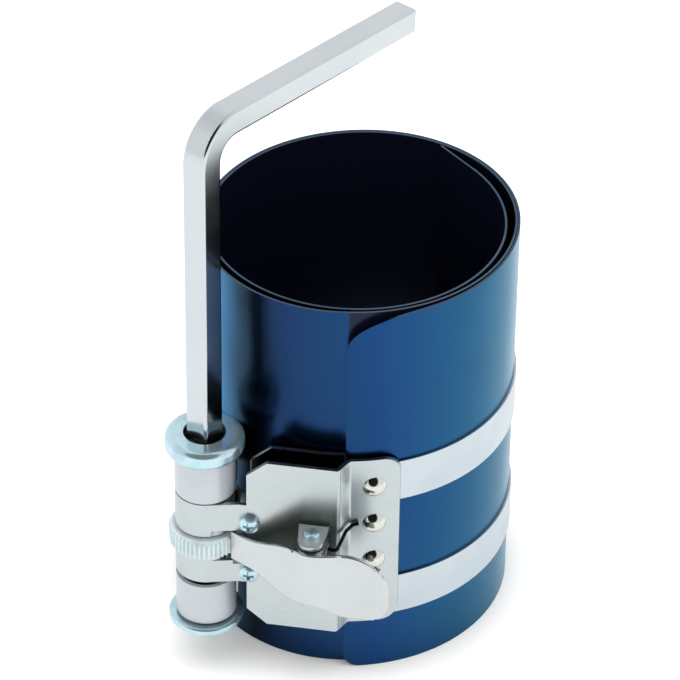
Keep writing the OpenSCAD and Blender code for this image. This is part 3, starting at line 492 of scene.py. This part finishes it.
finishes = {
    "blued_steel": temperedBlueSteel(bluedSheet),
    "band_steel": brightStripSteel(bandStrip),
    "nickel": brightNickel("brightNickel", nickelSheet),
    "zinc": blueWhiteZinc("blueWhiteZinc", zincPlate),
    "spring_wire": oilBlackedSteel("oilBlackedWire", springWire),
}
slotOf = {part["node"]: part["material_slot"] for part in frame["record"]["subparts"]}
ownFinish = {
    "square_key": brightNickel("brightNickelBar", nickelBar),
    "release_lever": brightNickel("brightNickelLever", nickelLever),
    "spindle": oilBlackedSteel("oilBlackedBar", spindleBar),
    "ratchet_wheel": blueWhiteZinc("blueWhiteZincTeeth", zincTeeth),
    "pivot_nut": finishes["nickel"],
}
polishedDomes = brightNickel("polishedNickel", nickelDome)
woundCoils = brightNickel("scratchedNickelStrip", nickelCoil)
ownFinish.update({name: polishedDomes for name in nodes if name.endswith("_rivet")})
ownFinish.update({name: woundCoils for name in nodes if name.endswith("_band_coil")})
for name, node in nodes.items():
    node.data.materials.clear()
    node.data.materials.append(ownFinish.get(name) or finishes[slotOf[name]])
print("finishes:", ", ".join(m.name for m in finishes.values()))

# Pressed and turned pieces with their edges broken, as tumbling leaves them. Angles are in degrees.
softEdges = {
    "pieces": ("bracket", "pivot_nut", "upper_clamp_nut", "lower_clamp_nut"),
    "width": 0.00015, "segments": 3, "sharper": 40,
}
meshCare = {"merge": 0.000002, "flat": 0.5, "smooth": 35}


def mergeDoubles(care=meshCare):
    bpy.ops.object.mode_set(mode="EDIT")
    bpy.ops.mesh.select_all(action="SELECT")
    bpy.ops.mesh.remove_doubles(threshold=care["merge"])
    bpy.ops.mesh.dissolve_limited(angle_limit=math.radians(care["flat"]))
    bpy.ops.object.mode_set(mode="OBJECT")


def copyOf(name):  # a merged copy of a node, selected, to finish by hand
    bpy.ops.object.select_all(action="DESELECT")
    node = nodes[name]
    node.select_set(True)
    bpy.context.view_layer.objects.active = node
    bpy.ops.object.duplicate()
    piece = bpy.context.object
    piece.name = name + "_finished"
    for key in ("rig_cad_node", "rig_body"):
        del piece[key]
    piece.parent = None
    mergeDoubles()
    return piece


def smoothAndFit(piece, name, care=meshCare):
    # flat faces stay flat beside the rounded edges, and the piece takes the node's place
    bpy.ops.object.shade_smooth_by_angle(angle=math.radians(care["smooth"]))
    flats = piece.modifiers.new("flatFaces", "WEIGHTED_NORMAL")
    flats.keep_sharp = True
    bpy.ops.object.modifier_apply(modifier=flats.name)
    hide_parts(name)


def breakEdges(name, plan):
    piece = copyOf(name)
    bevel = piece.modifiers.new("brokenEdges", "BEVEL")
    bevel.width, bevel.segments = plan["width"], plan["segments"]
    bevel.limit_method, bevel.angle_limit = "ANGLE", math.radians(plan["sharper"])
    bevel.use_clamp_overlap = True
    bpy.ops.object.modifier_apply(modifier=bevel.name)
    smoothAndFit(piece, name)
    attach(piece, bodyOf[name])


for name in softEdges["pieces"]:
    breakEdges(name, softEdges)
print("edges broken on", len(softEdges["pieces"]), "pieces")

# The lever's outline is rolled over all round. Its two eyes turn back behind the slanted web, and their
# corners are ground flush with its front.
leverEdges = {
    "roll": 0.00028, "segments": 3, "near": 0.00005, "sideways": 0.3, "frontways": 0.7,
    "eyeLeft": -0.00435, "eyeRight": 0.002, "eyeSlack": 0.0002, "eyeFaces": (0.0254, 0.0352),
    "eyeFront": -0.04147, "webFront": -0.04085,
}


def rollLever(plan):
    piece = copyOf("release_lever")
    for corner in piece.data.vertices:
        off = (corner.co.x - plan["eyeLeft"], corner.co.y - plan["eyeFront"])
        if max(abs(off[0]), abs(off[1])) < plan["near"]:
            corner.co.y = plan["webFront"]
    mergeDoubles()
    bpy.ops.object.mode_set(mode="EDIT")
    bpy.ops.mesh.select_all(action="DESELECT")
    mesh = bmesh.from_edit_mesh(piece.data)
    for edge in mesh.edges:
        middle = (edge.verts[0].co + edge.verts[1].co) / 2
        ways = sorted((face.normal for face in edge.link_faces), key=lambda way: abs(way.y))
        onOutline = (len(ways) == 2 and abs(ways[0].y) < plan["sideways"]
                     and abs(ways[1].y) > plan["frontways"])
        atEye = plan["eyeLeft"] - plan["eyeSlack"] < middle.x < plan["eyeRight"]
        inner = min(abs(middle.z - face) for face in plan["eyeFaces"]) < plan["near"]
        if onOutline and not (atEye and (inner or ways[1].y > 0)):
            edge.select_set(True)
    bmesh.update_edit_mesh(piece.data)
    bpy.ops.mesh.bevel(offset=plan["roll"], segments=plan["segments"], affect="EDGES", clamp_overlap=False)
    bpy.ops.object.mode_set(mode="OBJECT")
    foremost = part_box("release_lever")[0][1]  # the roll goes no further than the solid does
    for corner in piece.data.vertices:
        corner.co.y = max(corner.co.y, foremost)
    smoothAndFit(piece, "release_lever")
    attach(piece, "lever")


rollLever(leverEdges)
print("lever rolled")


def twistSpring():
    piece = copyOf("torsion_spring")
    smoothAndFit(piece, "torsion_spring")
    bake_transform(piece)


twistSpring()
